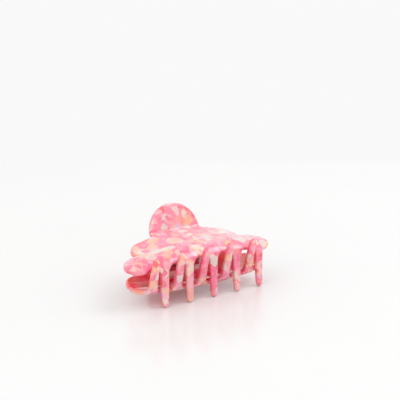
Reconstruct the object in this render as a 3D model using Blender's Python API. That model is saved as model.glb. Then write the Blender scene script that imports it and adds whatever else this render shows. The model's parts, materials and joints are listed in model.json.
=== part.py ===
"""Claw clip for hair: two heat-formed acetate jaws on a steel spring hinge.

Metres, +Z up. X runs along the clip, the mouth faces -Y and the finger tabs are at +Y.
The closed clip lies on its side, on the tips of the upper jaw's teeth and the rim of the lower tab.
"""
import math

import bmesh
import bpy
from mathutils import Matrix, Vector

# --- how the closed clip lies -------------------------------------------------------------
HINGE_Y = 0.01185                # hinge axis, behind the middle of the clip
HINGE_Z = 0.02134                # hinge axis above the table
CLIP_TILT = math.radians(9.0)    # the mouth lies lower than the hinge

# --- acetate sheet and its bends, in the side view of one jaw -------------------------------
# across = distance from the hinge axis towards the mouth, up = distance from the middle plane
SHEET = 0.0034
TAB_ANGLE = math.radians(60.0)         # tab against the middle plane
TAB_RADIUS = 0.0162
TAB_RUN = 0.0210                       # straight run of the profile, a little longer than the tab
TAB_BEND = Vector((-0.00284, 0.00802))
ROOF_FRONT = Vector((0.0266, 0.01045))
SHOULDER = {"upper": Vector((0.0306, 0.0079)), "lower": Vector((0.0304, 0.0090))}
TOOTH_LENGTH = {"upper": 0.0242, "lower": 0.0253}    # from the shoulder corner to a middle tip
TOOTH_LEAN = math.radians(12.3)        # teeth lean outwards, so that they pass the other jaw
TAB_BEND_RADIUS = 0.0030
ROOF_BEND_RADIUS = 0.0080
SHOULDER_RADIUS = 0.0022

# --- how the ends of a jaw curl towards the other jaw ---------------------------------------
END_CURL = {"upper": 0.180, "lower": 0.330}      # radius of the curl along X
CURL_FADE = (-0.0020, 0.0080)                    # the tab is flat: the curl sets in over this length
LOBE_SAG_SLOPE = 0.10                            # rear lobes sag towards the back
LOBE_SAG_FROM = 0.022                            # where that sag starts along the sheet
LOBE_SAG_INNER = 0.014
LOBE_SAG_OUTER = 0.030

# --- outline of the flat blank: u along the clip, s along the sheet from the tab bend --------
REAR_EDGE_S = 0.0030
TAB_CORNER_RADIUS = 0.0012
REAR_LOBE = (0.0262, 0.0110, 0.0080)             # centre u, centre s, radius
FRONT_LOBE = {"upper": (0.0383, 0.0250, 0.0083), "lower": (0.0357, 0.0243, 0.0083)}
NOTCH_RADIUS = 0.0014
TOOTH_PITCH = 0.0157
TOOTH_COUNT = 5
TOOTH_ROW_OFFSET = 0.0039                        # a quarter of the pitch, so the rows interleave
TOOTH_ROOT_HALF = 0.0026
TOOTH_TIP_HALF = 0.0018
TOOTH_SLANT = {"upper": 0.0, "lower": 0.0014}    # how far a tip stands to the right of its root
ARCH_CREST_PAST = 0.0001                         # deepest cut between two teeth, past mid shoulder
ARCH_CREST_FALL = 1.0                            # 1/m, how the crests fall back towards the ends
ARCH_RADIUS = 0.0037
RIGHT_FILLET_RADIUS = {"upper": 0.0012, "lower": 0.0034}    # from the outermost tooth to the lobe
LEFT_FILLET_RADIUS = {"upper": 0.0044, "lower": 0.0034}
LOWER_TIP_TRIM = 0.0004                          # the lower teeth end short of the upper ones
LOWER_TIP_CURVE = 0.400                          # radius of the line through the lower tips

# --- facets of a jaw: cuts across the sheet, besides those of the bends, and along the clip ------
BEND_FACETS = (4, 3, 4)                          # at the tab, in the roof and at the shoulder
CROSS_CUTS = (0.005, 0.010, 0.018)
COLUMN_WIDTH = 0.0085
COLUMNS_EACH_WAY = 5

# --- hinge --------------------------------------------------------------------------------
PIN_RADIUS = 0.0009
PIN_HEAD_RADIUS = 0.0019
PIN_HEAD_HEIGHT = 0.0008
CLEARANCE = 0.0003
LEAF_THICK = 0.0008
LEAF_BACK = -0.0010                              # rear and front edge of a leaf's plate
LEAF_FRONT = 0.0095
LEAF_GAP = 0.0007                                # plate to the sheet, at mid clip
LEAF_LIP = 0.0012                                # height of the plate's front edge
EAR_RADIUS = 0.0028
EAR_FRONT_DEGREES = 75.0                         # where the round ear leaves the plate's front slope
EAR_BACK_DEGREES = -185.0                        # where it meets the plate again
TROUGH_MARGIN = 0.0060                           # the cut between the ears runs past the plate
BORE_REACH = 0.0200                              # half the length of the cut for the pin
EAR_INSIDE = {"upper": 0.0085, "lower": 0.0097}  # half the width between a leaf's ears
STUD_X = 0.0060
STUD_ACROSS = 0.0055
STUD_SHANK_RADIUS = 0.0008
STUD_HEAD_RADIUS = 0.0018
STUD_HEAD_HEIGHT = 0.0006
STUD_SINK = 0.0020                               # how far a stud goes into the acetate
BORE_LEAD = 0.0005                               # a stud's bore starts this far before its foot
DOME_FLAT_SHARE = 0.7                            # a domed head's flat top, of its radius
DOME_STEP_SHARE = 0.75                           # height of the dome's step, of its height

# --- spring -------------------------------------------------------------------------------
WIRE_RADIUS = 0.0005
COIL_RADIUS = 0.0024
COIL_TURNS = 7
COIL_HALF_LENGTH = 0.0046
LEG_REACH = 0.0040                               # where a leg bears on the tab, from the bend
LEG_GAP = 0.0008                                 # middle of the wire to the tab's inner face

SIDES = {"upper": 1, "lower": -1}


# --- scene helpers --------------------------------------------------------------------------
def clear_scene():
    for old in list(bpy.data.objects):
        bpy.data.objects.remove(old, do_unlink=True)


def make_material(name, colour, roughness, metallic):
    material = bpy.data.materials.new(name)
    material.use_nodes = True
    shader = material.node_tree.nodes["Principled BSDF"]
    shader.inputs["Base Color"].default_value = (*colour, 1.0)
    shader.inputs["Roughness"].default_value = roughness
    shader.inputs["Metallic"].default_value = metallic
    return material


def make_pivot(name):
    """An empty on the hinge axis, turned so that its -Y runs to the mouth in the middle plane."""
    pivot = bpy.data.objects.new(name, None)
    pivot.location = (0.0, HINGE_Y, HINGE_Z)
    pivot.rotation_euler = (CLIP_TILT, 0.0, 0.0)
    bpy.context.scene.collection.objects.link(pivot)
    return pivot


def add_object(name, mesh_builder, pivot, material, sharp_degrees=35.0):
    """Make one named node from a bmesh; its coordinates are those of the pivot."""
    bmesh.ops.recalc_face_normals(mesh_builder, faces=mesh_builder.faces)
    mesh = bpy.data.meshes.new(name)
    mesh_builder.to_mesh(mesh)
    mesh_builder.free()
    mesh.shade_smooth()
    mesh.set_sharp_from_angle(angle=math.radians(sharp_degrees))
    mesh.materials.append(material)
    node = bpy.data.objects.new(name, mesh)
    node.parent = pivot
    bpy.context.scene.collection.objects.link(node)
    return node


def add_cutter(name, mesh_builder, pivot, material):
    cutter = add_object(name, mesh_builder, pivot, material)
    cutter.hide_render = True
    cutter.display_type = "WIRE"
    return cutter


def cut(node, cutter):
    difference = node.modifiers.new("cut_" + cutter.name, "BOOLEAN")
    difference.operation = "DIFFERENCE"
    difference.solver = "EXACT"
    difference.object = cutter


def place(across, up, x=0.0):
    """A side-view point as pivot coordinates."""
    return Vector((x, -across, up))


# --- bend profile: straight runs joined by arcs -----------------------------------------------
def turned(vector, angle):
    cosine = math.cos(angle)
    sine = math.sin(angle)
    return Vector((vector.x * cosine - vector.y * sine, vector.x * sine + vector.y * cosine))


class BendProfile:
    """The middle line of the sheet in the side view, measured along its length from the tab bend."""

    def __init__(self, corners, radii):
        self.runs = []
        start = corners[0]
        for index in range(1, len(corners) - 1):
            into = (corners[index] - corners[index - 1]).normalized()
            out = (corners[index + 1] - corners[index]).normalized()
            turn = math.atan2(into.x * out.y - into.y * out.x, into.dot(out))
            reach = radii[index - 1] * math.tan(abs(turn) / 2)
            arc_start = corners[index] - into * reach
            arc_end = corners[index] + out * reach
            self.runs.append((start, into, (arc_start - start).length, 0.0))
            self.runs.append((arc_start, into, radii[index - 1] * abs(turn), turn))
            start = arc_end
        last = corners[-1] - start
        self.runs.append((start, last.normalized(), last.length, 0.0))
        self.zero = self.runs[0][2] + self.runs[1][2] / 2

    def shoulder_s(self):
        """Length at the middle of the last bend."""
        return sum(run[2] for run in self.runs) - self.zero - self.runs[-1][2] - self.runs[-2][2] / 2

    def length_to_end(self):
        return sum(run[2] for run in self.runs) - self.zero

    def arc_cuts(self, pieces):
        """Lengths at which the sheet is divided, so that each bend has its own facets."""
        cuts = []
        passed = -self.zero
        for index, run in enumerate(self.runs):
            if run[3]:
                count = pieces[index // 2]
                cuts += [passed + run[2] * step / count for step in range(count + 1)]
            passed += run[2]
        return cuts

    def at(self, s):
        """Point on the middle line and the sheet's outward direction there."""
        passed = s + self.zero
        for start, into, length, turn in self.runs[:-1]:
            if passed <= length:
                break
            passed -= length
        else:
            start, into, length, turn = self.runs[-1]
        if not turn:
            return start + into * passed, turned(into, math.pi / 2)
        radius = length / abs(turn)
        side = 1.0 if turn > 0 else -1.0
        centre = start + turned(into, side * math.pi / 2) * radius
        angle = turn * passed / length
        spoke = turned(start - centre, angle)
        return centre + spoke, turned(turned(into, angle), math.pi / 2)


def jaw_profile(side):
    tab_end = TAB_BEND + Vector((-math.cos(TAB_ANGLE), math.sin(TAB_ANGLE))) * TAB_RUN
    along_tooth = Vector((math.sin(TOOTH_LEAN), -math.cos(TOOTH_LEAN)))
    tip = SHOULDER[side] + along_tooth * TOOTH_LENGTH[side]
    return BendProfile([tab_end, TAB_BEND, ROOF_FRONT, SHOULDER[side], tip],
                       [TAB_BEND_RADIUS, ROOF_BEND_RADIUS, SHOULDER_RADIUS])


PROFILE = {side: jaw_profile(side) for side in SIDES}


def eased(value, low, high):
    """0 below low, 1 above high and smooth between."""
    share = min(1.0, max(0.0, (value - low) / (high - low)))
    return share * share * (3.0 - 2.0 * share)


def end_drop(side, u, s):
    """How far a jaw's point lies nearer to the other jaw than the flat middle section."""
    curl = u * u / (2.0 * END_CURL[side]) * eased(s, *CURL_FADE)
    sag = eased(abs(u), LOBE_SAG_INNER, LOBE_SAG_OUTER) * LOBE_SAG_SLOPE * max(0.0, LOBE_SAG_FROM - s)
    return curl + sag


def bent(side, u, s, offset):
    """Where a point of the flat blank goes when the jaw is formed; offset is outwards."""
    point, outward = PROFILE[side].at(s)
    across = point.x + outward.x * offset
    up = point.y + outward.y * offset - end_drop(side, u, s)
    return place(across, up * SIDES[side], u * SIDES[side])


# --- outline of the flat blank ------------------------------------------------------------------
def arc(centre, radius, start_degrees, end_degrees, steps):
    points = []
    for step in range(steps + 1):
        angle = math.radians(start_degrees + (end_degrees - start_degrees) * step / steps)
        points.append((centre[0] + radius * math.cos(angle), centre[1] + radius * math.sin(angle)))
    return points


def notch_between(first, second, radius):
    """Centre of the circle that touches two lobes from outside, on the clip's outer side."""
    gap_u = second[0] - first[0]
    gap_s = second[1] - first[1]
    apart = math.hypot(gap_u, gap_s)
    reach_first = first[2] + radius
    reach_second = second[2] + radius
    along = (reach_first ** 2 - reach_second ** 2 + apart ** 2) / (2 * apart)
    aside = math.sqrt(reach_first ** 2 - along ** 2)
    return (first[0] + (gap_u * along + gap_s * aside) / apart,
            first[1] + (gap_s * along - gap_u * aside) / apart)


def bearing(origin, target):
    return math.degrees(math.atan2(target[1] - origin[1], target[0] - origin[0]))


def fillet_centre(lobe, side_u, radius):
    """Centre of the circle that touches a front lobe from outside and a tooth's side."""
    centre_u = side_u + radius
    return (centre_u, lobe[1] + math.sqrt((lobe[2] + radius) ** 2 - (centre_u - lobe[0]) ** 2))


def end_outline(side, tooth_u, fillet_radius):
    """From the top of the tab round one end of the jaw to the side of the outermost tooth."""
    rear = REAR_LOBE
    front = FRONT_LOBE[side]
    notch = notch_between(rear, front, NOTCH_RADIUS)
    to_rear = bearing(notch, rear)
    to_front = bearing(notch, front)
    fillet = fillet_centre(front, tooth_u + TOOTH_ROOT_HALF, fillet_radius)
    points = arc((0.0, 0.0), TAB_RADIUS, -90, 0, steps=16)
    corner = (TAB_RADIUS + TAB_CORNER_RADIUS, REAR_EDGE_S - TAB_CORNER_RADIUS)
    points += arc(corner, TAB_CORNER_RADIUS, 180, 90, steps=4)
    points += arc(rear[:2], rear[2], -90, bearing(rear, notch), steps=9)
    points += arc(notch, NOTCH_RADIUS, to_rear % 360, to_front % 360, steps=4)[1:]
    points += arc(front[:2], front[2], bearing(front, notch), bearing(front, fillet), steps=11)[1:]
    points += arc(fillet, fillet_radius, bearing(fillet, front), -180, steps=4)[1:]
    return points


def tip_s(side, u):
    """Where a tooth ends, so that all tips of the formed jaw stand in their line."""
    profile = PROFILE[side]
    end = profile.length_to_end() - end_drop(side, u, profile.shoulder_s())
    if side == "lower":
        end -= LOWER_TIP_TRIM + u * u / (2.0 * LOWER_TIP_CURVE)
    return end


def tooth(side, u):
    """The round tip of one tooth; its sides run from there to the arches beside it."""
    centre_s = tip_s(side, u) - TOOTH_TIP_HALF
    slant = math.degrees(math.atan2(TOOTH_SLANT[side], centre_s - crest_s(side, u) - ARCH_RADIUS))
    return arc((u, centre_s), TOOTH_TIP_HALF, -slant, 180 - slant, steps=6)


def crest_s(side, u):
    return PROFILE[side].shoulder_s() + ARCH_CREST_PAST - ARCH_CREST_FALL * u * u


def arch(side, root_right, root_left):
    """The rounded cut between the roots of two teeth, from the right one to the left one."""
    start = root_right - TOOTH_ROOT_HALF
    end = root_left + TOOTH_ROOT_HALF
    centre_s = crest_s(side, (root_right + root_left) / 2) + ARCH_RADIUS
    right = arc((start - ARCH_RADIUS, centre_s), ARCH_RADIUS, 0, -90, steps=5)
    left = arc((end + ARCH_RADIUS, centre_s), ARCH_RADIUS, -90, -180, steps=5)
    return right + left


def blank_outline(side):
    tips = [TOOTH_ROW_OFFSET + TOOTH_PITCH * (index - TOOTH_COUNT // 2)
            for index in reversed(range(TOOTH_COUNT))]
    roots = [u - TOOTH_SLANT[side] for u in tips]
    right_end = end_outline(side, roots[0], RIGHT_FILLET_RADIUS[side])
    mirrored_end = end_outline(side, -roots[-1], LEFT_FILLET_RADIUS[side])
    left_end = [(-u, s) for u, s in reversed(mirrored_end)]
    teeth = []
    for index, u in enumerate(tips):
        teeth += tooth(side, u)
        if index + 1 < TOOTH_COUNT:
            teeth += arch(side, roots[index], roots[index + 1])
    return clean_loop(right_end + teeth + left_end)


def clean_loop(points, closest=0.00012):
    """The outline without doubled points."""
    loop = []
    for point in points:
        if not loop or math.dist(point, loop[-1]) > closest:
            loop.append(point)
    if math.dist(loop[0], loop[-1]) <= closest:
        loop.pop()
    return loop


# --- jaws -----------------------------------------------------------------------------------------
def divided(builder, position, normal):
    bmesh.ops.bisect_plane(builder, geom=builder.verts[:] + builder.edges[:] + builder.faces[:],
                           dist=1e-6, plane_co=position, plane_no=normal)


def jaw_mesh(side):
    """Cut out the flat blank, divide it where it will bend, thicken it and form it."""
    builder = bmesh.new()
    corners = [builder.verts.new((u, s, -SHEET / 2)) for u, s in blank_outline(side)]
    builder.faces.new(corners)
    for s in [*PROFILE[side].arc_cuts(BEND_FACETS), *CROSS_CUTS]:
        divided(builder, (0.0, s, 0.0), (0.0, 1.0, 0.0))
    for column in range(-COLUMNS_EACH_WAY, COLUMNS_EACH_WAY + 1):
        divided(builder, (column * COLUMN_WIDTH, 0.0, 0.0), (1.0, 0.0, 0.0))
    thick = bmesh.ops.extrude_face_region(builder, geom=builder.faces[:])
    for vertex in thick["geom"]:
        if isinstance(vertex, bmesh.types.BMVert):
            vertex.co.z = SHEET / 2
    bmesh.ops.triangulate(builder, faces=builder.faces[:])
    for vertex in builder.verts:
        vertex.co = bent(side, vertex.co.x, vertex.co.y, vertex.co.z)
    return builder


# --- hinge ----------------------------------------------------------------------------------------
def prism(outline, x_from, x_to):
    """A side-view outline carried along X."""
    builder = bmesh.new()
    base = [builder.verts.new(place(across, up, x_from)) for across, up in outline]
    face = builder.faces.new(base)
    carried = bmesh.ops.extrude_face_region(builder, geom=[face])
    for vertex in carried["geom"]:
        if isinstance(vertex, bmesh.types.BMVert):
            vertex.co.x = x_to
    return builder


def roof_direction():
    return (ROOF_FRONT - TAB_BEND).normalized()


def plate_point(across, depth):
    """A point under the roof: depth is measured inwards from the sheet's inner face."""
    direction = roof_direction()
    inward = turned(direction, -math.pi / 2)
    return TAB_BEND + direction * (across - TAB_BEND.x) + inward * (SHEET / 2 + depth)


def leaf_outline(side):
    """Ear and plate of a hinge leaf in one closed side view."""
    top_back = plate_point(LEAF_BACK, LEAF_GAP)
    top_front = plate_point(LEAF_FRONT, LEAF_GAP)
    low_front = plate_point(LEAF_FRONT, LEAF_GAP + LEAF_LIP)
    start = bearing((0.0, 0.0), low_front) - EAR_FRONT_DEGREES
    ear = arc((0.0, 0.0), EAR_RADIUS, start, EAR_BACK_DEGREES, steps=14)
    outline = [tuple(top_front), tuple(low_front)] + ear + [tuple(top_back)]
    return [(across, up * SIDES[side]) for across, up in outline]


def cylinder_x(radius, x_from, x_to, segments=16):
    return prism(arc((0.0, 0.0), radius, 0, 360 - 360 / segments, steps=segments - 1), x_from, x_to)


def leaf_trough(side):
    """The space between the ears, below the plate."""
    back = plate_point(LEAF_BACK - TROUGH_MARGIN, LEAF_GAP + LEAF_THICK)
    front = plate_point(LEAF_FRONT + TROUGH_MARGIN, LEAF_GAP + LEAF_THICK)
    outline = [tuple(back), tuple(front), (front.x, -TROUGH_MARGIN), (back.x, -TROUGH_MARGIN)]
    flipped = [(across, up * SIDES[side]) for across, up in outline]
    return prism(flipped, -EAR_INSIDE[side], EAR_INSIDE[side])


def make_leaf(side, pivot, steel):
    outer = EAR_INSIDE[side] + LEAF_THICK
    leaf = add_object("hinge_leaf_" + side, prism(leaf_outline(side), -outer, outer), pivot, steel)
    trough = add_cutter("leaf_trough_" + side, leaf_trough(side), pivot, steel)
    drill = cylinder_x(PIN_RADIUS + CLEARANCE, -BORE_REACH, BORE_REACH)
    bore = add_cutter("pin_bore_" + side, drill, pivot, steel)
    cut(leaf, trough)
    cut(leaf, bore)
    return leaf


def turned_piece(profile_points, segments):
    """A closed round solid from (radius, height) points that start and end on the axis."""
    builder = bmesh.new()
    rings = []
    for radius, height in profile_points:
        if radius == 0.0:
            rings.append([builder.verts.new((0.0, 0.0, height))])
            continue
        ring = []
        for step in range(segments):
            angle = 2 * math.pi * step / segments
            ring.append(builder.verts.new((radius * math.cos(angle), radius * math.sin(angle), height)))
        rings.append(ring)
    for lower, upper in zip(rings, rings[1:]):
        for step in range(segments):
            following = (step + 1) % segments
            if len(lower) == 1:
                builder.faces.new((lower[0], upper[following], upper[step]))
            elif len(upper) == 1:
                builder.faces.new((lower[step], lower[following], upper[0]))
            else:
                builder.faces.new((lower[step], lower[following], upper[following], upper[step]))
    return builder


def stud_frame(side, x):
    """Turns +Z into the stud's direction, out through the roof, at the plate's inner face."""
    foot = plate_point(STUD_ACROSS, LEAF_GAP + LEAF_THICK + CLEARANCE)
    foot_at = place(foot.x, foot.y * SIDES[side], x)
    direction = roof_direction()
    outward = turned(direction, math.pi / 2)
    axis = place(outward.x, outward.y * SIDES[side])
    return Matrix.Translation(foot_at) @ axis.to_track_quat("Z", "X").to_matrix().to_4x4()


def domed_head(radius, height):
    """Profile of a domed head from its top, on the axis, to its rim."""
    return [(0.0, height), (radius * DOME_FLAT_SHARE, height * DOME_STEP_SHARE), (radius, 0.0)]


def stud_profile():
    """Domed head inside the barrel, straight shank through the plate into the acetate."""
    reach = CLEARANCE + LEAF_THICK + LEAF_GAP + STUD_SINK
    head = domed_head(STUD_HEAD_RADIUS, -STUD_HEAD_HEIGHT)
    return head + [(STUD_SHANK_RADIUS, 0.0), (STUD_SHANK_RADIUS, reach), (0.0, reach)]


def bore_profile():
    reach = CLEARANCE + LEAF_THICK + LEAF_GAP + STUD_SINK + CLEARANCE
    radius = STUD_SHANK_RADIUS + CLEARANCE
    return [(0.0, -BORE_LEAD), (radius, -BORE_LEAD), (radius, reach), (0.0, reach)]


def make_studs(side, pivot, steel, pierced):
    for name, x in (("left", -STUD_X), ("right", STUD_X)):
        frame = stud_frame(side, x)
        shape = turned_piece(stud_profile(), 12)
        bmesh.ops.transform(shape, matrix=frame, verts=shape.verts)
        add_object("stud_" + side + "_" + name, shape, pivot, steel)
        hole = turned_piece(bore_profile(), 12)
        bmesh.ops.transform(hole, matrix=frame, verts=hole.verts)
        bore = add_cutter("stud_bore_" + side + "_" + name, hole, pivot, steel)
        for node in pierced:
            cut(node, bore)


def pin_profile():
    half = EAR_INSIDE["lower"] + LEAF_THICK + CLEARANCE
    head = [(radius, half + height) for radius, height in domed_head(PIN_HEAD_RADIUS, PIN_HEAD_HEIGHT)]
    head.append((PIN_RADIUS, half))
    return [(radius, -height) for radius, height in head] + list(reversed(head))


# --- torsion spring ---------------------------------------------------------------------------------
def leg_end():
    """Middle of the wire where the upper leg bears on the upper tab's inner face."""
    along = Vector((-math.cos(TAB_ANGLE), math.sin(TAB_ANGLE)))
    inward = Vector((-math.sin(TAB_ANGLE), -math.cos(TAB_ANGLE)))
    return TAB_BEND + along * LEG_REACH + inward * (SHEET / 2 + LEG_GAP)


def spring_path(steps_per_turn):
    """Leg on the upper tab, coil round the pin, leg on the lower tab, as pivot coordinates."""
    end = leg_end()
    start_angle = math.atan2(end.y, end.x) + math.acos(COIL_RADIUS / end.length)
    sweep = 2 * math.pi * COIL_TURNS - (2 * start_angle - 2 * math.pi)
    points = [place(end.x, end.y, -COIL_HALF_LENGTH)]
    steps = steps_per_turn * COIL_TURNS
    for step in range(steps + 1):
        share = step / steps
        angle = start_angle + sweep * share
        x = COIL_HALF_LENGTH * (2 * share - 1)
        points.append(place(COIL_RADIUS * math.cos(angle), COIL_RADIUS * math.sin(angle), x))
    points.append(place(end.x, -end.y, COIL_HALF_LENGTH))
    return points


def swept_wire(points, radius, sides):
    """A round wire along the points, with flat closed ends."""
    builder = bmesh.new()
    rings = []
    normal = Vector((1.0, 0.0, 0.0))
    for index, point in enumerate(points):
        ahead = points[min(index + 1, len(points) - 1)]
        behind = points[max(index - 1, 0)]
        tangent = (ahead - behind).normalized()
        normal = (normal - tangent * normal.dot(tangent)).normalized()
        across = tangent.cross(normal)
        ring = []
        for step in range(sides):
            angle = 2 * math.pi * step / sides
            spoke = normal * math.cos(angle) + across * math.sin(angle)
            ring.append(builder.verts.new(point + spoke * radius))
        rings.append(ring)
    for first, second in zip(rings, rings[1:]):
        for step in range(sides):
            following = (step + 1) % sides
            builder.faces.new((first[step], first[following], second[following], second[step]))
    builder.faces.new(list(reversed(rings[0])))
    builder.faces.new(rings[-1])
    return builder


# --- assembly -----------------------------------------------------------------------------------------
def main():
    clear_scene()
    acetate = make_material("acetate", (0.91, 0.33, 0.38), 0.12, 0.0)
    steel = make_material("plated_steel", (0.78, 0.77, 0.75), 0.25, 1.0)
    spring_steel = make_material("spring_steel", (0.60, 0.60, 0.61), 0.30, 1.0)
    pivots = {"upper": make_pivot("upper_half_pivot"), "lower": make_pivot("lower_half_pivot")}
    for side, pivot in pivots.items():
        jaw = add_object("jaw_" + side, jaw_mesh(side), pivot, acetate)
        leaf = make_leaf(side, pivot, steel)
        make_studs(side, pivot, steel, (jaw, leaf))
    pin = turned_piece(pin_profile(), 16)
    bmesh.ops.transform(pin, matrix=Matrix.Rotation(math.radians(90.0), 4, "Y"), verts=pin.verts)
    add_object("hinge_pin", pin, pivots["lower"], steel)
    wire = swept_wire(spring_path(14), WIRE_RADIUS, 8)
    add_object("torsion_spring", wire, pivots["lower"], spring_steel)


main()
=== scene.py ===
"""Looks of the claw clip: two tumbled, heat-formed acetate jaws on a plated spring hinge.

Metres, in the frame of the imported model. A jaw is laid out as a flat blank, with u along the clip
and s along the sheet from the tab bend, and then bent round the hinge as the real one is.
"""
import json
import math

import bmesh
import bpy
import numpy as np
from mathutils import Matrix, Vector
from mathutils.geometry import delaunay_2d_cdt


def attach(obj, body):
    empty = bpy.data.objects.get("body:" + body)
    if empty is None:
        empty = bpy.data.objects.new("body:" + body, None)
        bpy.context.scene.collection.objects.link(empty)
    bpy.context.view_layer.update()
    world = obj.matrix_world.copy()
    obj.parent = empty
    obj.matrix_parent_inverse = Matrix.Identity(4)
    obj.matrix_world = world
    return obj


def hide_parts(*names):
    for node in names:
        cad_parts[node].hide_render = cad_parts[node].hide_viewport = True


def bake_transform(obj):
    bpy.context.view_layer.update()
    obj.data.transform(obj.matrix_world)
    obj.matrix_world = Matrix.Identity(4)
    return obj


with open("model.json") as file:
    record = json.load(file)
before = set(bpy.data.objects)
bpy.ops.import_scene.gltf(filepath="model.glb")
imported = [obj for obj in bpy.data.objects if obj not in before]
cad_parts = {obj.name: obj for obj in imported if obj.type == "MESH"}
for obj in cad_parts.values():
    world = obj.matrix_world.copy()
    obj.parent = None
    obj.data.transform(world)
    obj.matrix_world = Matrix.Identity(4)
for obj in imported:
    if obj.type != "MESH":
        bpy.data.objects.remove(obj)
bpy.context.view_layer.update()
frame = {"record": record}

JOINT = frame["record"]["behaviour"]["joints"][0]
HINGE = Vector(JOINT["pos_m"])
CLIP_TILT = math.radians(9.0)    # the mouth lies lower than the hinge
SIDES = {"upper": 1, "lower": -1}

# --- acetate sheet and its bends, in the side view of one jaw ---------------------------------
# across = distance from the hinge axis towards the mouth, up = distance from the middle plane
SHEET = 0.0034
TAB_ANGLE = math.radians(60.0)
TAB_RADIUS = 0.0162
TAB_RUN = 0.0210
TAB_BEND = Vector((-0.00284, 0.00802))
ROOF_FRONT = Vector((0.0266, 0.01045))
SHOULDER = {"upper": Vector((0.0306, 0.0079)), "lower": Vector((0.0304, 0.0090))}
TOOTH_LENGTH = {"upper": 0.0242, "lower": 0.0253}
TOOTH_LEAN = math.radians(12.3)
TAB_BEND_RADIUS = 0.0030
ROOF_BEND_RADIUS = 0.0080
SHOULDER_RADIUS = 0.0022

# --- how the ends of a jaw curl towards the other jaw -----------------------------------------
END_CURL = {"upper": 0.180, "lower": 0.330}
CURL_FADE = (-0.0020, 0.0080)
LOBE_SAG_SLOPE = 0.10
LOBE_SAG_FROM = 0.022
LOBE_SAG_INNER = 0.014
LOBE_SAG_OUTER = 0.030

# --- outline of the flat blank ----------------------------------------------------------------
REAR_EDGE_S = 0.0030
TAB_CORNER_RADIUS = 0.0012
REAR_LOBE = (0.0262, 0.0110, 0.0080)             # centre u, centre s, radius
FRONT_LOBE = {"upper": (0.0383, 0.0250, 0.0083), "lower": (0.0357, 0.0243, 0.0083)}
NOTCH_RADIUS = 0.0014
TOOTH_PITCH = 0.0157
TOOTH_COUNT = 5
TOOTH_ROW_OFFSET = 0.0039
TOOTH_ROOT_HALF = 0.0026
TOOTH_TIP_HALF = 0.0018
TOOTH_SLANT = {"upper": 0.0, "lower": 0.0014}
ARCH_CREST_PAST = 0.0001
ARCH_CREST_FALL = 1.0
ARCH_RADIUS = 0.0037
RIGHT_FILLET_RADIUS = {"upper": 0.0012, "lower": 0.0034}
LEFT_FILLET_RADIUS = {"upper": 0.0044, "lower": 0.0034}
LOWER_TIP_TRIM = 0.0004
LOWER_TIP_CURVE = 0.400

# --- fineness of the jaw's surface --------------------------------------------------------------
RIM_ROUND = 0.00125            # tumbled edge, of the sheet's half thickness 0.0017
RIM_RINGS = 5                  # rings over each rounded edge
RIM_STEP = 0.00045             # points along the outline
RIM_SHORTEST = RIM_STEP / 4
RIM_LONGEST = RIM_STEP * 1.5
FACE_STEP = 0.0011             # points inside the faces
BEND_STEP = 0.00038            # rows across a bend
FACE_MARGIN = 0.00042          # inner points keep this distance to the rim
FILL_INSIDE = 1                # the triangulation's kind of output: only what the ring encloses
SAME_POINT = 1e-9              # points nearer than this count as one
NUDGE = 1e-5                   # step of the numeric slopes behind the normals
SHEET_SHIFT = 0.77             # the two blanks come from different places of the sheet

# --- hinge --------------------------------------------------------------------------------------
PIN_RADIUS = 0.0009
PIN_HEAD_RADIUS = 0.0019
PIN_HEAD_HEIGHT = 0.0008
CLEARANCE = 0.0003
LEAF_THICK = 0.0008
LEAF_BACK = -0.0010
LEAF_FRONT = 0.0095
LEAF_GAP = 0.0007
LEAF_LIP = 0.0012
LEAF_EDGE = 0.00012
EAR_RADIUS = 0.0028
EAR_FRONT_DEGREES = 75.0
EAR_BACK_DEGREES = -185.0
EAR_INSIDE = {"upper": 0.0085, "lower": 0.0097}
TROUGH_MARGIN = 0.0060
BORE_REACH = 0.0200
STUD_X = 0.0060
STUD_ACROSS = 0.0055
STUD_SHANK_RADIUS = 0.0008
STUD_HEAD_RADIUS = 0.0018
STUD_HEAD_HEIGHT = 0.0006
STUD_SINK = 0.0020
TURNED_SEGMENTS = 48           # round the pin and the studs
DOME_STEPS = 8                 # from the top of a head to its rim
TURNED_SHARP = math.radians(40.0)    # steeper edges than these stay sharp
PLATE_SHARP = math.radians(50.0)
BEVELLED_FROM = math.radians(40.0)

# --- spring -------------------------------------------------------------------------------------
WIRE_RADIUS = 0.0005
COIL_RADIUS = 0.0024
COIL_TURNS = 7
COIL_HALF_LENGTH = 0.0046
LEG_REACH = 0.0040
LEG_GAP = 0.0008
COIL_STEPS = 36                # for each of COIL_TURNS
LEG_STEPS = 14
WIRE_SIDES = 14
WIRE_END_WIDTH = 0.55          # of the wire's radius, at its cut ends
WIRE_SHARP = math.radians(50.0)

# --- camera and stage ---------------------------------------------------------------------------
CAMERA_AZIMUTH = 33.7
CAMERA_PITCH = 15.6
CAMERA_AT = (-0.3401, -0.5227, 0.2254)
CAMERA_LENS = 104.85
CAMERA_SENSOR = 36.0
CAMERA_NEAR = 0.05
CAMERA_FAR = 20.0
FLOOR_REACH = 0.300            # from the clip to the far edge of the table
FLOOR_CELLS = 8
STUDIO_WHITE = (1.0, 1.0, 1.0, 1.0)
STUDIO_STRENGTH = 0.95
WINDOWS = {"window_right": ((0.70, -0.35, 1.05), 0.70, 2.9),    # place, size, power
           "window_left": ((-0.9, -0.3, 0.8), 0.8, 1.6)}


# --- small helpers ------------------------------------------------------------------------------
def turned(vector, angle):
    cosine = math.cos(angle)
    sine = math.sin(angle)
    return Vector((vector.x * cosine - vector.y * sine, vector.x * sine + vector.y * cosine))


def eased(value, low, high):
    """0 below low, 1 above high and smooth between, for numbers and arrays."""
    share = np.clip((value - low) / (high - low), 0.0, 1.0)
    return share * share * (3.0 - 2.0 * share)


def to_world():
    return Matrix.Translation(HINGE) @ Matrix.Rotation(CLIP_TILT, 4, "X")


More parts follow.
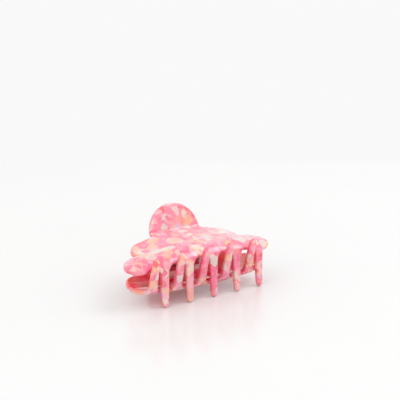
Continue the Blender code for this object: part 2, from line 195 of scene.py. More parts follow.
def place(across, up, x=0.0):
    """A side-view point as pivot coordinates."""
    return Vector((x, -across, up))


def band_faces(rings, count):
    """Quads that join closed rings of count points each, one ring after the other."""
    faces = []
    for ring in range(rings - 1):
        for step in range(count):
            following = (step + 1) % count
            faces.append((ring * count + step, ring * count + following,
                          (ring + 1) * count + following, (ring + 1) * count + step))
    return faces


def add_piece(name, mesh, body, replaced, material):
    """Link a finished mesh, hang it on its body if it has one and hide the CAD part it replaces."""
    mesh.materials.clear()
    mesh.materials.append(material)
    piece = bpy.data.objects.new(name, mesh)
    bpy.context.scene.collection.objects.link(piece)
    if body:
        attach(piece, body)
    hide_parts(replaced)
    return piece


# --- bend profile: straight runs joined by arcs ---------------------------------------------------
class BendProfile:
    """The middle line of the sheet in the side view, measured along its length from the tab bend."""

    def __init__(self, corners, radii):
        self.runs = []           # start, heading, length and turn of each; a straight run has no turn
        start = corners[0]
        for index in range(1, len(corners) - 1):
            into = (corners[index] - corners[index - 1]).normalized()
            out = (corners[index + 1] - corners[index]).normalized()
            turn = math.atan2(into.x * out.y - into.y * out.x, into.dot(out))
            reach = radii[index - 1] * math.tan(abs(turn) / 2)
            arc_start = corners[index] - into * reach
            arc_end = corners[index] + out * reach
            self.runs.append((start, into, (arc_start - start).length, 0.0))
            self.runs.append((arc_start, into, radii[index - 1] * abs(turn), turn))
            start = arc_end
        last = corners[-1] - start
        self.runs.append((start, last.normalized(), last.length, 0.0))
        self.zero = self.runs[0][2] + self.runs[1][2] / 2
        self.ends = np.cumsum([run[2] for run in self.runs])

    def shoulder_s(self):
        """Length at the middle of the last bend."""
        return float(self.ends[-1]) - self.zero - self.runs[-1][2] - self.runs[-2][2] / 2

    def length_to_end(self):
        return float(self.ends[-1]) - self.zero

    def rows(self):
        """Lengths at which the sheet gets a row of points, close together in the bends."""
        rows = []
        passed = -self.zero
        for _, _, length, turn in self.runs:
            step = BEND_STEP if turn else FACE_STEP
            count = max(1, math.ceil(length / step))
            rows += [passed + length * index / count for index in range(count)]
            passed += length
        return rows

    def at(self, s):
        """Points on the middle line and the sheet's outward directions, for an array of lengths."""
        passed = s + self.zero
        which = np.clip(np.searchsorted(self.ends, passed), 0, len(self.runs) - 1)
        points = np.zeros((len(s), 2))
        outward = np.zeros((len(s), 2))
        for index, (start, into, length, turn) in enumerate(self.runs):
            chosen = which == index
            along = passed[chosen] - (self.ends[index] - length)
            angle = turn * along / length
            heading = math.atan2(into.y, into.x) + angle
            if turn:
                radius = length / turn
                centre = start + turned(into, math.pi / 2) * radius
                points[chosen, 0] = centre.x + radius * np.sin(heading)
                points[chosen, 1] = centre.y - radius * np.cos(heading)
            else:
                points[chosen, 0] = start.x + into.x * along
                points[chosen, 1] = start.y + into.y * along
            outward[chosen, 0] = -np.sin(heading)
            outward[chosen, 1] = np.cos(heading)
        return points, outward


def jaw_profile(side):
    tab_end = TAB_BEND + Vector((-math.cos(TAB_ANGLE), math.sin(TAB_ANGLE))) * TAB_RUN
    along_tooth = Vector((math.sin(TOOTH_LEAN), -math.cos(TOOTH_LEAN)))
    tip = SHOULDER[side] + along_tooth * TOOTH_LENGTH[side]
    return BendProfile([tab_end, TAB_BEND, ROOF_FRONT, SHOULDER[side], tip],
                       [TAB_BEND_RADIUS, ROOF_BEND_RADIUS, SHOULDER_RADIUS])


PROFILE = {side: jaw_profile(side) for side in SIDES}


def end_drop(side, u, s):
    """How far a jaw's point lies nearer to the other jaw than the flat middle section."""
    curl = u * u / (2.0 * END_CURL[side]) * eased(s, *CURL_FADE)
    sag = eased(abs(u), LOBE_SAG_INNER, LOBE_SAG_OUTER) * LOBE_SAG_SLOPE
    return curl + sag * np.maximum(0.0, LOBE_SAG_FROM - s)


def bent(side, flat):
    """Where the points (u, s, offset) of the flat blank go when the jaw is formed, in pivot axes."""
    u, s, offset = flat.T
    points, outward = PROFILE[side].at(s)
    across = points[:, 0] + outward[:, 0] * offset
    up = points[:, 1] + outward[:, 1] * offset - end_drop(side, u, s)
    return np.stack([u * SIDES[side], -across, up * SIDES[side]], axis=1)


def bent_normals(side, flat, normals):
    """The blank's normals carried through the bend, by the slopes of bent()."""
    slopes = []
    for axis in range(3):
        step = np.zeros(3)
        step[axis] = NUDGE
        slopes.append((bent(side, flat + step) - bent(side, flat - step)) / (2 * NUDGE))
    along_u, along_s, outwards = slopes
    carried = normals[:, 0:1] * np.cross(along_s, outwards)
    carried += normals[:, 1:2] * np.cross(outwards, along_u)
    carried += normals[:, 2:3] * np.cross(along_u, along_s)
    handed = np.sign(np.einsum("ij,ij->i", np.cross(along_u, along_s), outwards))
    carried *= handed[:, None]
    return carried / np.linalg.norm(carried, axis=1)[:, None], handed[0] < 0


# --- outline of the flat blank --------------------------------------------------------------------
def arc(centre, radius, start_degrees, end_degrees):
    steps = max(3, math.ceil(radius * math.radians(abs(end_degrees - start_degrees)) / RIM_STEP))
    points = []
    for step in range(steps + 1):
        angle = math.radians(start_degrees + (end_degrees - start_degrees) * step / steps)
        points.append((centre[0] + radius * math.cos(angle), centre[1] + radius * math.sin(angle)))
    return points


def notch_between(first, second, radius):
    """Centre of the circle that touches two lobes from outside, on the clip's outer side."""
    gap_u = second[0] - first[0]
    gap_s = second[1] - first[1]
    apart = math.hypot(gap_u, gap_s)
    reach_first = first[2] + radius
    reach_second = second[2] + radius
    along = (reach_first ** 2 - reach_second ** 2 + apart ** 2) / (2 * apart)
    aside = math.sqrt(reach_first ** 2 - along ** 2)
    return (first[0] + (gap_u * along + gap_s * aside) / apart,
            first[1] + (gap_s * along - gap_u * aside) / apart)


def bearing(origin, target):
    return math.degrees(math.atan2(target[1] - origin[1], target[0] - origin[0]))


def fillet_centre(lobe, side_u, radius):
    """Centre of the circle that touches a front lobe from outside and a tooth's side."""
    centre_u = side_u + radius
    return (centre_u, lobe[1] + math.sqrt((lobe[2] + radius) ** 2 - (centre_u - lobe[0]) ** 2))


def end_outline(side, tooth_u, fillet_radius):
    """From the top of the tab round one end of the jaw to the side of the outermost tooth."""
    rear = REAR_LOBE
    front = FRONT_LOBE[side]
    notch = notch_between(rear, front, NOTCH_RADIUS)
    fillet = fillet_centre(front, tooth_u + TOOTH_ROOT_HALF, fillet_radius)
    points = arc((0.0, 0.0), TAB_RADIUS, -90, 0)
    corner = (TAB_RADIUS + TAB_CORNER_RADIUS, REAR_EDGE_S - TAB_CORNER_RADIUS)
    points += arc(corner, TAB_CORNER_RADIUS, 180, 90)
    points += arc(rear[:2], rear[2], -90, bearing(rear, notch))
    points += arc(notch, NOTCH_RADIUS, bearing(notch, rear) % 360, bearing(notch, front) % 360)
    points += arc(front[:2], front[2], bearing(front, notch), bearing(front, fillet))
    points += arc(fillet, fillet_radius, bearing(fillet, front), -180)
    return points


def crest_s(side, u):
    return PROFILE[side].shoulder_s() + ARCH_CREST_PAST - ARCH_CREST_FALL * u * u


def tip_s(side, u):
    """Where a tooth ends, so that all tips of the formed jaw stand in their line."""
    profile = PROFILE[side]
    end = profile.length_to_end() - end_drop(side, u, profile.shoulder_s())
    if side == "lower":
        end -= LOWER_TIP_TRIM + u * u / (2.0 * LOWER_TIP_CURVE)
    return end


def tooth(side, u):
    """The round tip of one tooth; its sides run from there to the arches beside it."""
    centre_s = tip_s(side, u) - TOOTH_TIP_HALF
    slant = math.degrees(math.atan2(TOOTH_SLANT[side], centre_s - crest_s(side, u) - ARCH_RADIUS))
    return arc((u, centre_s), TOOTH_TIP_HALF, -slant, 180 - slant)


def arch(side, root_right, root_left):
    """The rounded cut between the roots of two teeth, from the right one to the left one."""
    start = root_right - TOOTH_ROOT_HALF
    end = root_left + TOOTH_ROOT_HALF
    centre_s = crest_s(side, (root_right + root_left) / 2) + ARCH_RADIUS
    right = arc((start - ARCH_RADIUS, centre_s), ARCH_RADIUS, 0, -90)
    left = arc((end + ARCH_RADIUS, centre_s), ARCH_RADIUS, -90, -180)
    return right + left


def blank_outline(side):
    tips = [TOOTH_ROW_OFFSET + TOOTH_PITCH * (index - TOOTH_COUNT // 2)
            for index in reversed(range(TOOTH_COUNT))]
    roots = [u - TOOTH_SLANT[side] for u in tips]
    right_end = end_outline(side, roots[0], RIGHT_FILLET_RADIUS[side])
    mirrored_end = end_outline(side, -roots[-1], LEFT_FILLET_RADIUS[side])
    left_end = [(-u, s) for u, s in reversed(mirrored_end)]
    teeth = []
    for index, u in enumerate(tips):
        teeth += tooth(side, u)
        if index + 1 < TOOTH_COUNT:
            teeth += arch(side, roots[index], roots[index + 1])
    return evenly(right_end + teeth + left_end)


def evenly(points):
    """The closed outline without doubled points, and with its long straight stretches divided."""
    loop = []
    for index, point in enumerate(points):
        before = points[index - 1]
        gap = math.dist(before, point)
        if gap < RIM_SHORTEST:
            continue
        count = math.ceil(gap / RIM_LONGEST)
        for step in range(1, count + 1):
            share = step / count
            loop.append((before[0] + (point[0] - before[0]) * share,
                         before[1] + (point[1] - before[1]) * share))
    return np.array(loop)


# --- jaws -------------------------------------------------------------------------------------------
def inward_directions(loop):
    """Unit directions into the blank, square to the outline at each of its points."""
    ahead = np.roll(loop, -1, axis=0) - loop
    behind = loop - np.roll(loop, 1, axis=0)
    tangent = ahead / np.linalg.norm(ahead, axis=1)[:, None]
    tangent += behind / np.linalg.norm(behind, axis=1)[:, None]
    tangent /= np.linalg.norm(tangent, axis=1)[:, None]
    return np.stack([-tangent[:, 1], tangent[:, 0]], axis=1)


def inside(points, loop):
    """Which points lie inside the closed loop, by counting the edges to their right."""
    following = np.roll(loop, -1, axis=0)
    found = np.zeros(len(points), dtype=bool)
    for (u0, s0), (u1, s1) in zip(loop, following):
        spans = (s0 > points[:, 1]) != (s1 > points[:, 1])
        if spans.any():
            crossing = u0 + (points[:, 1] - s0) * (u1 - u0) / (s1 - s0 + 1e-12)
            found ^= spans & (points[:, 0] < crossing)
    return found


def face_points(side, loop):
    """Staggered points that fill the loop, in rows that are close where the sheet bends."""
    reach = float(np.abs(loop[:, 0]).max())
    low = float(loop[:, 1].min())
    high = float(loop[:, 1].max())
    rows = [s for s in PROFILE[side].rows() if low < s < high]
    points = []
    for index, s in enumerate(rows):
        shift = FACE_STEP / 2 * (index % 2)
        count = math.ceil(reach / FACE_STEP)
        points += [(column * FACE_STEP + shift, s) for column in range(-count, count + 1)]
    points = np.array(points)
    points = points[inside(points, loop)]
    nearest = np.full(len(points), np.inf)
    for corner in loop:
        nearest = np.minimum(nearest, np.linalg.norm(points - corner, axis=1))
    return points[nearest > FACE_MARGIN]


def fill_face(side, loop):
    """Extra points inside the loop and the triangles that fill it; the loop's points come first."""
    extra = face_points(side, loop)
    corners = [Vector(point) for point in np.concatenate([loop, extra])]
    ring = list(range(len(loop)))
    _, _, triangles, sources, _, _ = delaunay_2d_cdt(corners, [], [ring], FILL_INSIDE, SAME_POINT)
    origin = [source[0] for source in sources]
    return extra, [tuple(origin[corner] for corner in triangle) for triangle in triangles]


def blank_surface(side):
    """Points, normals and faces of the flat blank, with both rims rounded."""
    outline = blank_outline(side)
    inward = inward_directions(outline)
    count = len(outline)
    angles = [90.0 * (step / (RIM_RINGS - 1) - 1.0) for step in range(RIM_RINGS)]
    angles += [-angle for angle in reversed(angles)]
    points = []
    normals = []
    for index, degrees in enumerate(angles):
        angle = math.radians(degrees)
        wall = (SHEET / 2 - RIM_ROUND) * (-1 if index < RIM_RINGS else 1)
        ring = outline + inward * (RIM_ROUND * (1.0 - math.cos(angle)))
        height = np.full((count, 1), wall + RIM_ROUND * math.sin(angle))
        points.append(np.hstack([ring, height]))
        normals.append(np.hstack([-inward * math.cos(angle), np.full((count, 1), math.sin(angle))]))
    faces = band_faces(len(angles), count)
    extra, triangles = fill_face(side, points[0][:, :2])
    for up, first_ring in ((-1, 0), (1, (len(angles) - 1) * count)):
        start = sum(len(block) for block in points)
        points.append(np.hstack([extra, np.full((len(extra), 1), up * SHEET / 2)]))
        normals.append(np.tile((0.0, 0.0, float(up)), (len(extra), 1)))
        for triangle in triangles:
            corners = [first_ring + c if c < count else start + c - count for c in triangle]
            faces.append(tuple(corners if up > 0 else reversed(corners)))
    return np.concatenate(points), np.concatenate(normals), faces


def make_jaw(side, material):
    """One formed jaw; the attribute "sheet" keeps each point's place in the flat blank."""
    flat, flat_normals, faces = blank_surface(side)
    normals, mirrored = bent_normals(side, flat, flat_normals)
    if mirrored:
        faces = [tuple(reversed(face)) for face in faces]
    world = to_world()
    turn = np.array(world.to_3x3())
    mesh = bpy.data.meshes.new("jaw_shell_" + side)
    mesh.from_pydata((bent(side, flat) @ turn.T + np.array(HINGE)).tolist(), [], faces)
    mesh.shade_smooth()
    mesh.normals_split_custom_set_from_vertices((normals @ turn.T).tolist())
    shift = np.array((SHEET_SHIFT * SIDES[side], 0.0, 0.0))
    sheet = mesh.attributes.new("sheet", "FLOAT_VECTOR", "POINT")
    sheet.data.foreach_set("vector", (flat + shift).ravel())
    return add_piece("jaw_shell_" + side, mesh, side + "_half", "jaw_" + side, material)


# --- hinge ------------------------------------------------------------------------------------------
def prism(outline, x_from, x_to):
    """Points and faces of a side-view outline carried along X."""
    count = len(outline)
    points = [place(across, up, x) for x in (x_from, x_to) for across, up in outline]
    faces = [tuple(range(count)), tuple(reversed(range(count, 2 * count)))]
    for first in range(count):
        second = (first + 1) % count
        faces.append((second, first, first + count, second + count))
    return points, faces


def signed_volume(points, faces):
    """Above zero where the faces of a closed solid look outwards."""
    volume = 0.0
    for face in faces:
        apex = points[face[0]]
        for first, second in zip(face[1:], face[2:]):
            volume += apex.dot(points[first].cross(points[second]))
    return volume


def finished(name, points, faces):
    """A closed solid, given in pivot axes, as an object in world coordinates."""
    if signed_volume(points, faces) < 0:
        faces = [tuple(reversed(face)) for face in faces]
    world = to_world()
    mesh = bpy.data.meshes.new(name)
    mesh.from_pydata([world @ point for point in points], [], faces)
    piece = bpy.data.objects.new(name, mesh)
    bpy.context.scene.collection.objects.link(piece)
    return piece


def roof_direction():
    return (ROOF_FRONT - TAB_BEND).normalized()


def plate_point(across, depth):
    """A point under the roof: depth is measured inwards from the sheet's inner face."""
    direction = roof_direction()
    inward = turned(direction, -math.pi / 2)
    return TAB_BEND + direction * (across - TAB_BEND.x) + inward * (SHEET / 2 + depth)


def ear_outline(side):
    """Ear and plate of a hinge leaf in one closed side view."""
    top_back = plate_point(LEAF_BACK, LEAF_GAP)
    top_front = plate_point(LEAF_FRONT, LEAF_GAP)
    low_front = plate_point(LEAF_FRONT, LEAF_GAP + LEAF_LIP)
    start = bearing((0.0, 0.0), low_front) - EAR_FRONT_DEGREES
    ear = arc((0.0, 0.0), EAR_RADIUS, start, EAR_BACK_DEGREES)
    outline = [tuple(top_front), tuple(low_front)] + ear + [tuple(top_back)]
    return [(across, up * SIDES[side]) for across, up in outline]


def trough_outline(side):
    """The space between the ears, below the plate."""
    back = plate_point(LEAF_BACK - TROUGH_MARGIN, LEAF_GAP + LEAF_THICK)
    front = plate_point(LEAF_FRONT + TROUGH_MARGIN, LEAF_GAP + LEAF_THICK)
    outline = [tuple(back), tuple(front), (front.x, -TROUGH_MARGIN), (back.x, -TROUGH_MARGIN)]
    return [(across, up * SIDES[side]) for across, up in outline]


def baked(piece):
    """The piece's mesh with its modifiers applied; the piece itself goes."""
    graph = bpy.context.evaluated_depsgraph_get()
    mesh = bpy.data.meshes.new_from_object(piece.evaluated_get(graph), depsgraph=graph)
    bpy.data.objects.remove(piece, do_unlink=True)
    return mesh


def make_leaf(side, material):
    """A stamped hinge leaf: the trough and the pin's bore are cut out, then its edges are broken."""
    outer = EAR_INSIDE[side] + LEAF_THICK
    leaf = finished("leaf_blank_" + side, *prism(ear_outline(side), -outer, outer))
    bore = arc((0.0, 0.0), PIN_RADIUS + CLEARANCE, 0, 360)[:-1]
    trough = prism(trough_outline(side), -EAR_INSIDE[side], EAR_INSIDE[side])
    cutters = [finished("leaf_trough_" + side, *trough),
               finished("leaf_bore_" + side, *prism(bore, -BORE_REACH, BORE_REACH))]
    for cutter in cutters:
        difference = leaf.modifiers.new("cut", "BOOLEAN")
        difference.operation = "DIFFERENCE"
        difference.solver = "EXACT"
        difference.object = cutter
    bevel = leaf.modifiers.new("edges", "BEVEL")
    bevel.width = LEAF_EDGE
    bevel.segments = 2
    bevel.limit_method = "ANGLE"
    bevel.angle_limit = BEVELLED_FROM
    mesh = baked(leaf)
    for cutter in cutters:
        bpy.data.objects.remove(cutter, do_unlink=True)
    mesh.shade_smooth()
    mesh.set_sharp_from_angle(angle=PLATE_SHARP)
    add_piece("leaf_plate_" + side, mesh, side + "_half", "hinge_leaf_" + side,
              material)


def turned_piece(profile_points):
    """A closed round solid about Z from (radius, height) points that start and end on the axis."""
    segments = TURNED_SEGMENTS
    rims = profile_points[1:-1]
    points = [Vector((0.0, 0.0, profile_points[0][1]))]
    for radius, height in rims:
        for segment in range(segments):
            angle = 2 * math.pi * segment / segments
            points.append(Vector((radius * math.cos(angle), radius * math.sin(angle), height)))
    points.append(Vector((0.0, 0.0, profile_points[-1][1])))
    faces = []
    last = 1 + (len(rims) - 1) * segments
    for segment in range(segments):
        following = (segment + 1) % segments
        faces.append((0, 1 + segment, 1 + following))
        for start in range(1, last, segments):
            faces.append((start + segment, start + segments + segment,
                          start + segments + following, start + following))
        faces.append((len(points) - 1, last + following, last + segment))
    return points, faces


def dome(radius, height):
    """Profile of a domed head from its top, on the axis, to its rim."""
    points = []
    for step in range(DOME_STEPS + 1):
        angle = math.pi / 2 * step / DOME_STEPS
        points.append((radius * math.sin(angle), height * math.cos(angle)))
    return points


def add_turned(name, profile_points, matrix, body, replaced, material):
    points, faces = turned_piece(profile_points)
    mesh = baked(finished(name + "_raw", [matrix @ point for point in points], faces))
    mesh.shade_smooth()
    mesh.set_sharp_from_angle(angle=TURNED_SHARP)
    add_piece(name, mesh, body, replaced, material)


def stud_frame(side, x):
    """Turns +Z into the stud's direction, out through the roof, at the plate's inner face."""
    foot = plate_point(STUD_ACROSS, LEAF_GAP + LEAF_THICK + CLEARANCE)
    outward = turned(roof_direction(), math.pi / 2)
    axis = place(outward.x, outward.y * SIDES[side])
    turn = axis.to_track_quat("Z", "X").to_matrix().to_4x4()
    return Matrix.Translation(place(foot.x, foot.y * SIDES[side], x)) @ turn


def make_studs(side, material):
    reach = CLEARANCE + LEAF_THICK + LEAF_GAP + STUD_SINK
    profile = dome(STUD_HEAD_RADIUS, -STUD_HEAD_HEIGHT)
    profile += [(STUD_SHANK_RADIUS, 0.0), (STUD_SHANK_RADIUS, reach), (0.0, reach)]
    for end, x in (("left", -STUD_X), ("right", STUD_X)):
        add_turned(f"rivet_{side}_{end}", profile, stud_frame(side, x), side + "_half",
                   f"stud_{side}_{end}", material)


def make_pin(material):
    half = EAR_INSIDE["lower"] + LEAF_THICK + CLEARANCE
    head = [(radius, half + height) for radius, height in dome(PIN_HEAD_RADIUS, PIN_HEAD_HEIGHT)]
    head.append((PIN_RADIUS, half))
    profile = [(radius, -height) for radius, height in head] + list(reversed(head))
    add_turned("pin", profile, Matrix.Rotation(math.radians(90.0), 4, "Y"), "lower_half", "hinge_pin",
               material)


# --- torsion spring -----------------------------------------------------------------------------------
def leg_end():
    """Middle of the wire where the upper leg bears on the upper tab's inner face."""
    along = Vector((-math.cos(TAB_ANGLE), math.sin(TAB_ANGLE)))
    inward = Vector((-math.sin(TAB_ANGLE), -math.cos(TAB_ANGLE)))
    return TAB_BEND + along * LEG_REACH + inward * (SHEET / 2 + LEG_GAP)


def leg_points(end, root):
    return [end.lerp(root, step / LEG_STEPS) for step in range(LEG_STEPS + 1)]


def spring_path():
    """Leg on the upper tab, coil round the pin, leg on the lower tab, as pivot coordinates."""
    end = leg_end()
    start_angle = math.atan2(end.y, end.x) + math.acos(COIL_RADIUS / end.length)
    sweep = 2 * math.pi * COIL_TURNS - (2 * start_angle - 2 * math.pi)
    steps = COIL_STEPS * COIL_TURNS
    coil = []
    for step in range(steps + 1):
        share = step / steps
        angle = start_angle + sweep * share
        x = COIL_HALF_LENGTH * (2 * share - 1)
        coil.append(place(COIL_RADIUS * math.cos(angle), COIL_RADIUS * math.sin(angle), x))
    first = leg_points(place(end.x, end.y, -COIL_HALF_LENGTH), coil[0])
    last = leg_points(place(end.x, -end.y, COIL_HALF_LENGTH), coil[-1])
    return first + coil[1:-1] + list(reversed(last))


def wire_rings(points):
    """Rings of points round the wire, which narrows at its two ends."""
    rings = []
    normal = Vector((1.0, 0.0, 0.0))
    for index, point in enumerate(points):
        ahead = points[min(index + 1, len(points) - 1)]
        behind = points[max(index - 1, 0)]
        tangent = (ahead - behind).normalized()
        normal = (normal - tangent * normal.dot(tangent)).normalized()
        across = tangent.cross(normal)
        from_end = min(index, len(points) - 1 - index)
        width = WIRE_RADIUS * (WIRE_END_WIDTH if from_end == 0 else 1.0)
        rings.append([point + (normal * math.cos(2 * math.pi * step / WIRE_SIDES)
                               + across * math.sin(2 * math.pi * step / WIRE_SIDES)) * width
                      for step in range(WIRE_SIDES)])
    return rings


def make_spring(material):
    rings = wire_rings(spring_path())
    last_ring = (len(rings) - 1) * WIRE_SIDES
    faces = [tuple(reversed(range(WIRE_SIDES))), tuple(range(last_ring, last_ring + WIRE_SIDES))]
    faces += band_faces(len(rings), WIRE_SIDES)
    world = to_world()
    mesh = bpy.data.meshes.new("spring_wire")
    mesh.from_pydata([world @ corner for ring in rings for corner in ring], [], faces)
    mesh.shade_smooth()
    mesh.set_sharp_from_angle(angle=WIRE_SHARP)
    spring = add_piece("spring_wire", mesh, None, "torsion_spring", material)
    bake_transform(spring)


# --- materials ----------------------------------------------------------------------------------------
class Shader:
    """Short calls for building one material's nodes."""

    def __init__(self, name):
        self.material = bpy.data.materials.new(name)
        self.material.use_nodes = True
        self.tree = self.material.node_tree
        self.principled = self.tree.nodes["Principled BSDF"]

    def node(self, kind, **settings):
        made = self.tree.nodes.new("ShaderNode" + kind)
        for key, value in settings.items():
            setattr(made, key, value)
        return made

    def link(self, output, socket):
        self.tree.links.new(output, socket)

    def feed(self, socket, value):
        if isinstance(value, bpy.types.NodeSocket):
            self.link(value, socket)
        else:
            socket.default_value = value

    def mix(self, share, first, second, blend="MIX"):
        made = self.node("Mix", data_type="RGBA", blend_type=blend)
        self.feed(made.inputs["Factor"], share)
        self.feed(made.inputs["A"], first)
        self.feed(made.inputs["B"], second)
        return made.outputs["Result"]

    def stretch(self, value, low, high, new_low, new_high):
        """A value eased from the range low to high into the range new_low to new_high."""
        made = self.node("MapRange", interpolation_type="SMOOTHSTEP")
        self.feed(made.inputs["Value"], value)
        made.inputs["From Min"].default_value = low
        made.inputs["From Max"].default_value = high
        made.inputs["To Min"].default_value = new_low
        made.inputs["To Max"].default_value = new_high
        return made.outputs["Result"]

    def noise(self, where, scale, detail, roughness=0.5):
        made = self.node("TexNoise")
        self.feed(made.inputs["Vector"], where)
        made.inputs["Scale"].default_value = scale
        made.inputs["Detail"].default_value = detail
        made.inputs["Roughness"].default_value = roughness
        return made

    def soft_cells(self, where, scale, smoothness):
        """Cells of random colours whose borders melt together."""
        made = self.node("TexVoronoi", feature="SMOOTH_F1")
        self.feed(made.inputs["Vector"], where)
        made.inputs["Scale"].default_value = scale
        made.inputs["Smoothness"].default_value = smoothness
        return made.outputs["Color"]

    def vector_math(self, operation, where, other):
        made = self.node("VectorMath", operation=operation)
        self.feed(made.inputs[0], where)
        self.feed(made.inputs[1], other)
        return made.outputs[0]

    def moved(self, where, offset):
        return self.vector_math("ADD", where, offset)

    def scaled(self, where, factors):
        return self.vector_math("MULTIPLY", where, factors)

    def dress(self, colour, roughness, normal=None):
        """Patterns into the shader's own sockets."""
        self.link(colour, self.principled.inputs["Base Color"])
        self.link(roughness, self.principled.inputs["Roughness"])
        if normal is not None:
            self.link(normal, self.principled.inputs["Normal"])

    def set(self, values):
        """Constants on the shader's own sockets."""
        for name, value in values.items():
            self.principled.inputs[name].default_value = value

    def bump(self, height, strength, distance):
        made = self.node("Bump")
        made.inputs["Strength"].default_value = strength
        made.inputs["Distance"].default_value = distance
        self.link(height, made.inputs["Height"])
        return made.outputs["Normal"]


def display(red, green, blue):
    """A colour given as on a display, from 0 to 255, as scene-linear RGBA."""
    linear = []
    for level in (red / 255.0, green / 255.0, blue / 255.0):
        linear.append(level / 12.92 if level <= 0.04045 else ((level + 0.055) / 1.055) ** 2.4)
    return (*linear, 1.0)


# Colours of the pressed acetate, and the painted shade of its inner face
ROSE = (252, 138, 166)
HOT_PINK = (252, 88, 140)
BLUSH = (250, 186, 188)
SALMON = (250, 130, 124)
PEACH = (250, 194, 148)
CREAM = (248, 228, 206)
GREY_WHITE = (218, 226, 214)
LAVENDER = (236, 176, 214)
CORAL = (240, 56, 76)
# painted shade: the inner face is multiplied by this, darker and redder, for the shade and the light
# through the sheet inside the clip
PAINTED_INNER_SHADE = (255, 158, 170)

# Chips laid over each other: colour, cells per metre, share of the cells, edge softness, cover
CHIP_LAYERS = [(HOT_PINK, 98.0, 0.42, 0.18, 0.95),
               (SALMON, 135.0, 0.26, 0.16, 0.75),
               (PEACH, 150.0, 0.27, 0.15, 0.88),
               (BLUSH, 165.0, 0.24, 0.14, 0.85),
               (CREAM, 190.0, 0.20, 0.12, 0.85),
               (CORAL, 230.0, 0.17, 0.10, 0.85),
               (GREY_WHITE, 210.0, 0.18, 0.12, 0.85),
               (LAVENDER, 250.0, 0.11, 0.08, 0.80),
               (HOT_PINK, 240.0, 0.18, 0.10, 0.90)]
LAYER_STEP = (0.137, 0.211, 0.093)
CHIP_BLUR = 0.40                # how far neighbouring chips melt together
CHIP_DRIFT = (0.0030, 0.0030, 0.0030)

# Patterns over the chips; a scale is in noise cells per metre
NOISE_MIDDLE = (0.3, 0.7)       # most of a noise's values lie between these
NOISE_TO_ZERO = (-0.5, -0.5, -0.5)
WANDER_SCALE = 170.0            # moves the borders of the chips by CHIP_DRIFT
CLOUD_SCALE = 260.0
CLOUD_EDGE = (0.30, 0.75)
CLOUD_COVER = 0.35
PAINTED_SHADE_COVER = 0.9               # how much of the painted shade reaches the inner face
HAZE_SCALE = 600.0
HAZE_ROUGHNESS = (0.07, 0.13)
WAVE_SCALE = 80.0               # slow waves left by the forming
WAVE_STRENGTH = 0.25
WAVE_HEIGHT = 0.0004
ACETATE = {"IOR": 1.49,
           "Subsurface Weight": 0.8,
           "Subsurface Radius": (1.0, 0.40, 0.40),
           "Subsurface Scale": 0.0045,
           "Coat Weight": 1.0,
           "Coat Roughness": 0.03,
           "Coat IOR": 1.7}

# Metals: colour, roughness and how the grain is drawn out along X, Y and Z
NICKEL_PLATE = ((214, 211, 205), 0.22, (0.15, 1.0, 1.0))
SPRING_WIRE = ((176, 177, 180), 0.28, (1.0, 1.0, 1.0))
STREAK_SCALE = 900.0
STREAK_RAGGEDNESS = 0.6
STREAK_ROUGHNESS = (0.7, 1.4)   # of the metal's own roughness
STREAK_STRENGTH = 0.15
STREAK_HEIGHT = 0.00002
BLOTCH_SCALE = 350.0
BLOTCH_SHADE = 0.72             # of the metal's own brightness
BLOTCH_COVER = 0.2

# Table top
TABLE_GREYS = ((237, 237, 237), (241, 241, 240))
TABLE_TONE_SCALE = 6.0
TABLE_GLOSS_SCALE = 30.0
TABLE_ROUGHNESS = (0.16, 0.22)


def chip_layer(shader, where, colour, layer, order):
    """Soft-edged angular chips of one colour over what lies below."""
    tint, scale, share, softness, cover = layer
    shift = tuple(order * step for step in LAYER_STEP)
    cells = shader.soft_cells(shader.moved(where, shift), scale, CHIP_BLUR)
    parts = shader.node("SeparateColor")
    shader.link(cells, parts.inputs["Color"])
    edge = 1.0 - share
    here = shader.stretch(parts.outputs["Red"], edge - softness, edge + softness, 0.0, cover)
    return shader.mix(here, colour, display(*tint))


def chip_colours(shader, sheet):
    """All layers of chips, whose borders wander a little."""
    wander = shader.noise(sheet, WANDER_SCALE, 2.0).outputs["Color"]
    drift = shader.scaled(shader.moved(wander, NOISE_TO_ZERO), CHIP_DRIFT)
    where = shader.moved(sheet, drift)
    colour = display(*ROSE)
    for order, layer in enumerate(CHIP_LAYERS):
        colour = chip_layer(shader, where, colour, layer, order)
    return colour


def acetate_material():
    """Pressed confetti acetate: soft-edged chips of many sizes, a little see-through, polished."""
    shader = Shader("confetti_acetate")
    sheet = shader.node("Attribute", attribute_name="sheet").outputs["Vector"]
    clouds = shader.noise(sheet, CLOUD_SCALE, 3.0).outputs["Fac"]
    cloudy = shader.stretch(clouds, *CLOUD_EDGE, 0.0, CLOUD_COVER)
    colour = shader.mix(cloudy, chip_colours(shader, sheet), display(*BLUSH))
    depth = shader.node("SeparateXYZ")
    shader.link(sheet, depth.inputs[0])
    # painted shade: the inner face, towards the inside of the clip, is multiplied darker and redder
    inward = shader.stretch(depth.outputs["Z"], SHEET / 2, -SHEET / 2, 0.0, PAINTED_SHADE_COVER)
    colour = shader.mix(inward, colour, display(*PAINTED_INNER_SHADE), "MULTIPLY")
    haze = shader.noise(sheet, HAZE_SCALE, 3.0).outputs["Fac"]
    waves = shader.noise(sheet, WAVE_SCALE, 1.0).outputs["Fac"]
    shader.dress(colour, shader.stretch(haze, *NOISE_MIDDLE, *HAZE_ROUGHNESS),
                 shader.bump(waves, WAVE_STRENGTH, WAVE_HEIGHT))
    shader.set(ACETATE)
    return shader.material


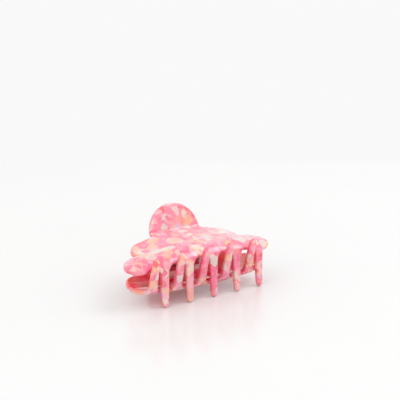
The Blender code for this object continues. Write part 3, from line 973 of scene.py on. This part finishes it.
def steel_material(name, colour, roughness, grain):
    """Metal with a fine grain and slightly uneven polish."""
    shader = Shader(name)
    position = shader.node("TexCoord").outputs["Object"]
    drawn_out = shader.scaled(position, grain)
    streaks = shader.noise(drawn_out, STREAK_SCALE, 4.0, STREAK_RAGGEDNESS).outputs["Fac"]
    blotches = shader.noise(position, BLOTCH_SCALE, 2.0).outputs["Fac"]
    tone = shader.stretch(blotches, *NOISE_MIDDLE, 0.0, BLOTCH_COVER)
    dark = tuple(level * BLOTCH_SHADE for level in colour)
    smooth, coarse = (roughness * share for share in STREAK_ROUGHNESS)
    shader.dress(shader.mix(tone, display(*colour), display(*dark)),
                 shader.stretch(streaks, *NOISE_MIDDLE, smooth, coarse),
                 shader.bump(streaks, STREAK_STRENGTH, STREAK_HEIGHT))
    shader.set({"Metallic": 1.0})
    return shader.material


def table_material():
    shader = Shader("pale_table")
    position = shader.node("TexCoord").outputs["Object"]
    tone = shader.noise(position, TABLE_TONE_SCALE, 3.0).outputs["Fac"]
    gloss = shader.noise(position, TABLE_GLOSS_SCALE, 2.0).outputs["Fac"]
    greys = [display(*grey) for grey in TABLE_GREYS]
    shader.dress(shader.mix(tone, *greys), shader.stretch(gloss, *NOISE_MIDDLE, *TABLE_ROUGHNESS))
    return shader.material


# --- stage ----------------------------------------------------------------------------------------------
def make_table():
    """A pale glossy table top, square to the camera."""
    builder = bmesh.new()
    bmesh.ops.create_grid(builder, x_segments=FLOOR_CELLS, y_segments=FLOOR_CELLS, size=FLOOR_REACH)
    mesh = bpy.data.meshes.new("table_top")
    builder.to_mesh(mesh)
    builder.free()
    mesh.materials.append(table_material())
    table = bpy.data.objects.new("table_top", mesh)
    table.rotation_euler = (0.0, 0.0, -math.radians(CAMERA_AZIMUTH))
    bpy.context.scene.collection.objects.link(table)


def add_area(name, location, size, power):
    """A round lamp that points at the clip."""
    light = bpy.data.lights.new(name, "AREA")
    light.shape = "DISK"
    light.size = size
    light.energy = power
    lamp = bpy.data.objects.new(name, light)
    lamp.location = location
    lamp.rotation_euler = (-Vector(location)).to_track_quat("-Z", "Y").to_euler()
    bpy.context.scene.collection.objects.link(lamp)


def make_lights():
    world = bpy.data.worlds.new("white_studio")
    world.use_nodes = True
    background = world.node_tree.nodes["Background"]
    background.inputs["Color"].default_value = STUDIO_WHITE
    background.inputs["Strength"].default_value = STUDIO_STRENGTH
    bpy.context.scene.world = world
    for name, (location, size, power) in WINDOWS.items():
        add_area(name, location, size, power)


def make_camera():
    lens = bpy.data.cameras.new("photo_view")
    lens.lens = CAMERA_LENS
    lens.sensor_width = CAMERA_SENSOR
    lens.clip_start = CAMERA_NEAR
    lens.clip_end = CAMERA_FAR
    camera = bpy.data.objects.new("photo_view", lens)
    camera.location = CAMERA_AT
    camera.rotation_euler = (math.radians(90.0 - CAMERA_PITCH), 0.0, -math.radians(CAMERA_AZIMUTH))
    bpy.context.scene.collection.objects.link(camera)
    bpy.context.scene.camera = camera


# --- assembly -------------------------------------------------------------------------------------------
def main():
    make_camera()
    acetate = acetate_material()
    plated = steel_material("nickel_plate", *NICKEL_PLATE)
    wire = steel_material("spring_wire_steel", *SPRING_WIRE)
    for side in SIDES:
        make_jaw(side, acetate)
        make_leaf(side, plated)
        make_studs(side, plated)
    make_pin(plated)
    make_spring(wire)
    make_table()
    make_lights()
    bpy.context.scene.view_settings.view_transform = "Standard"


main()
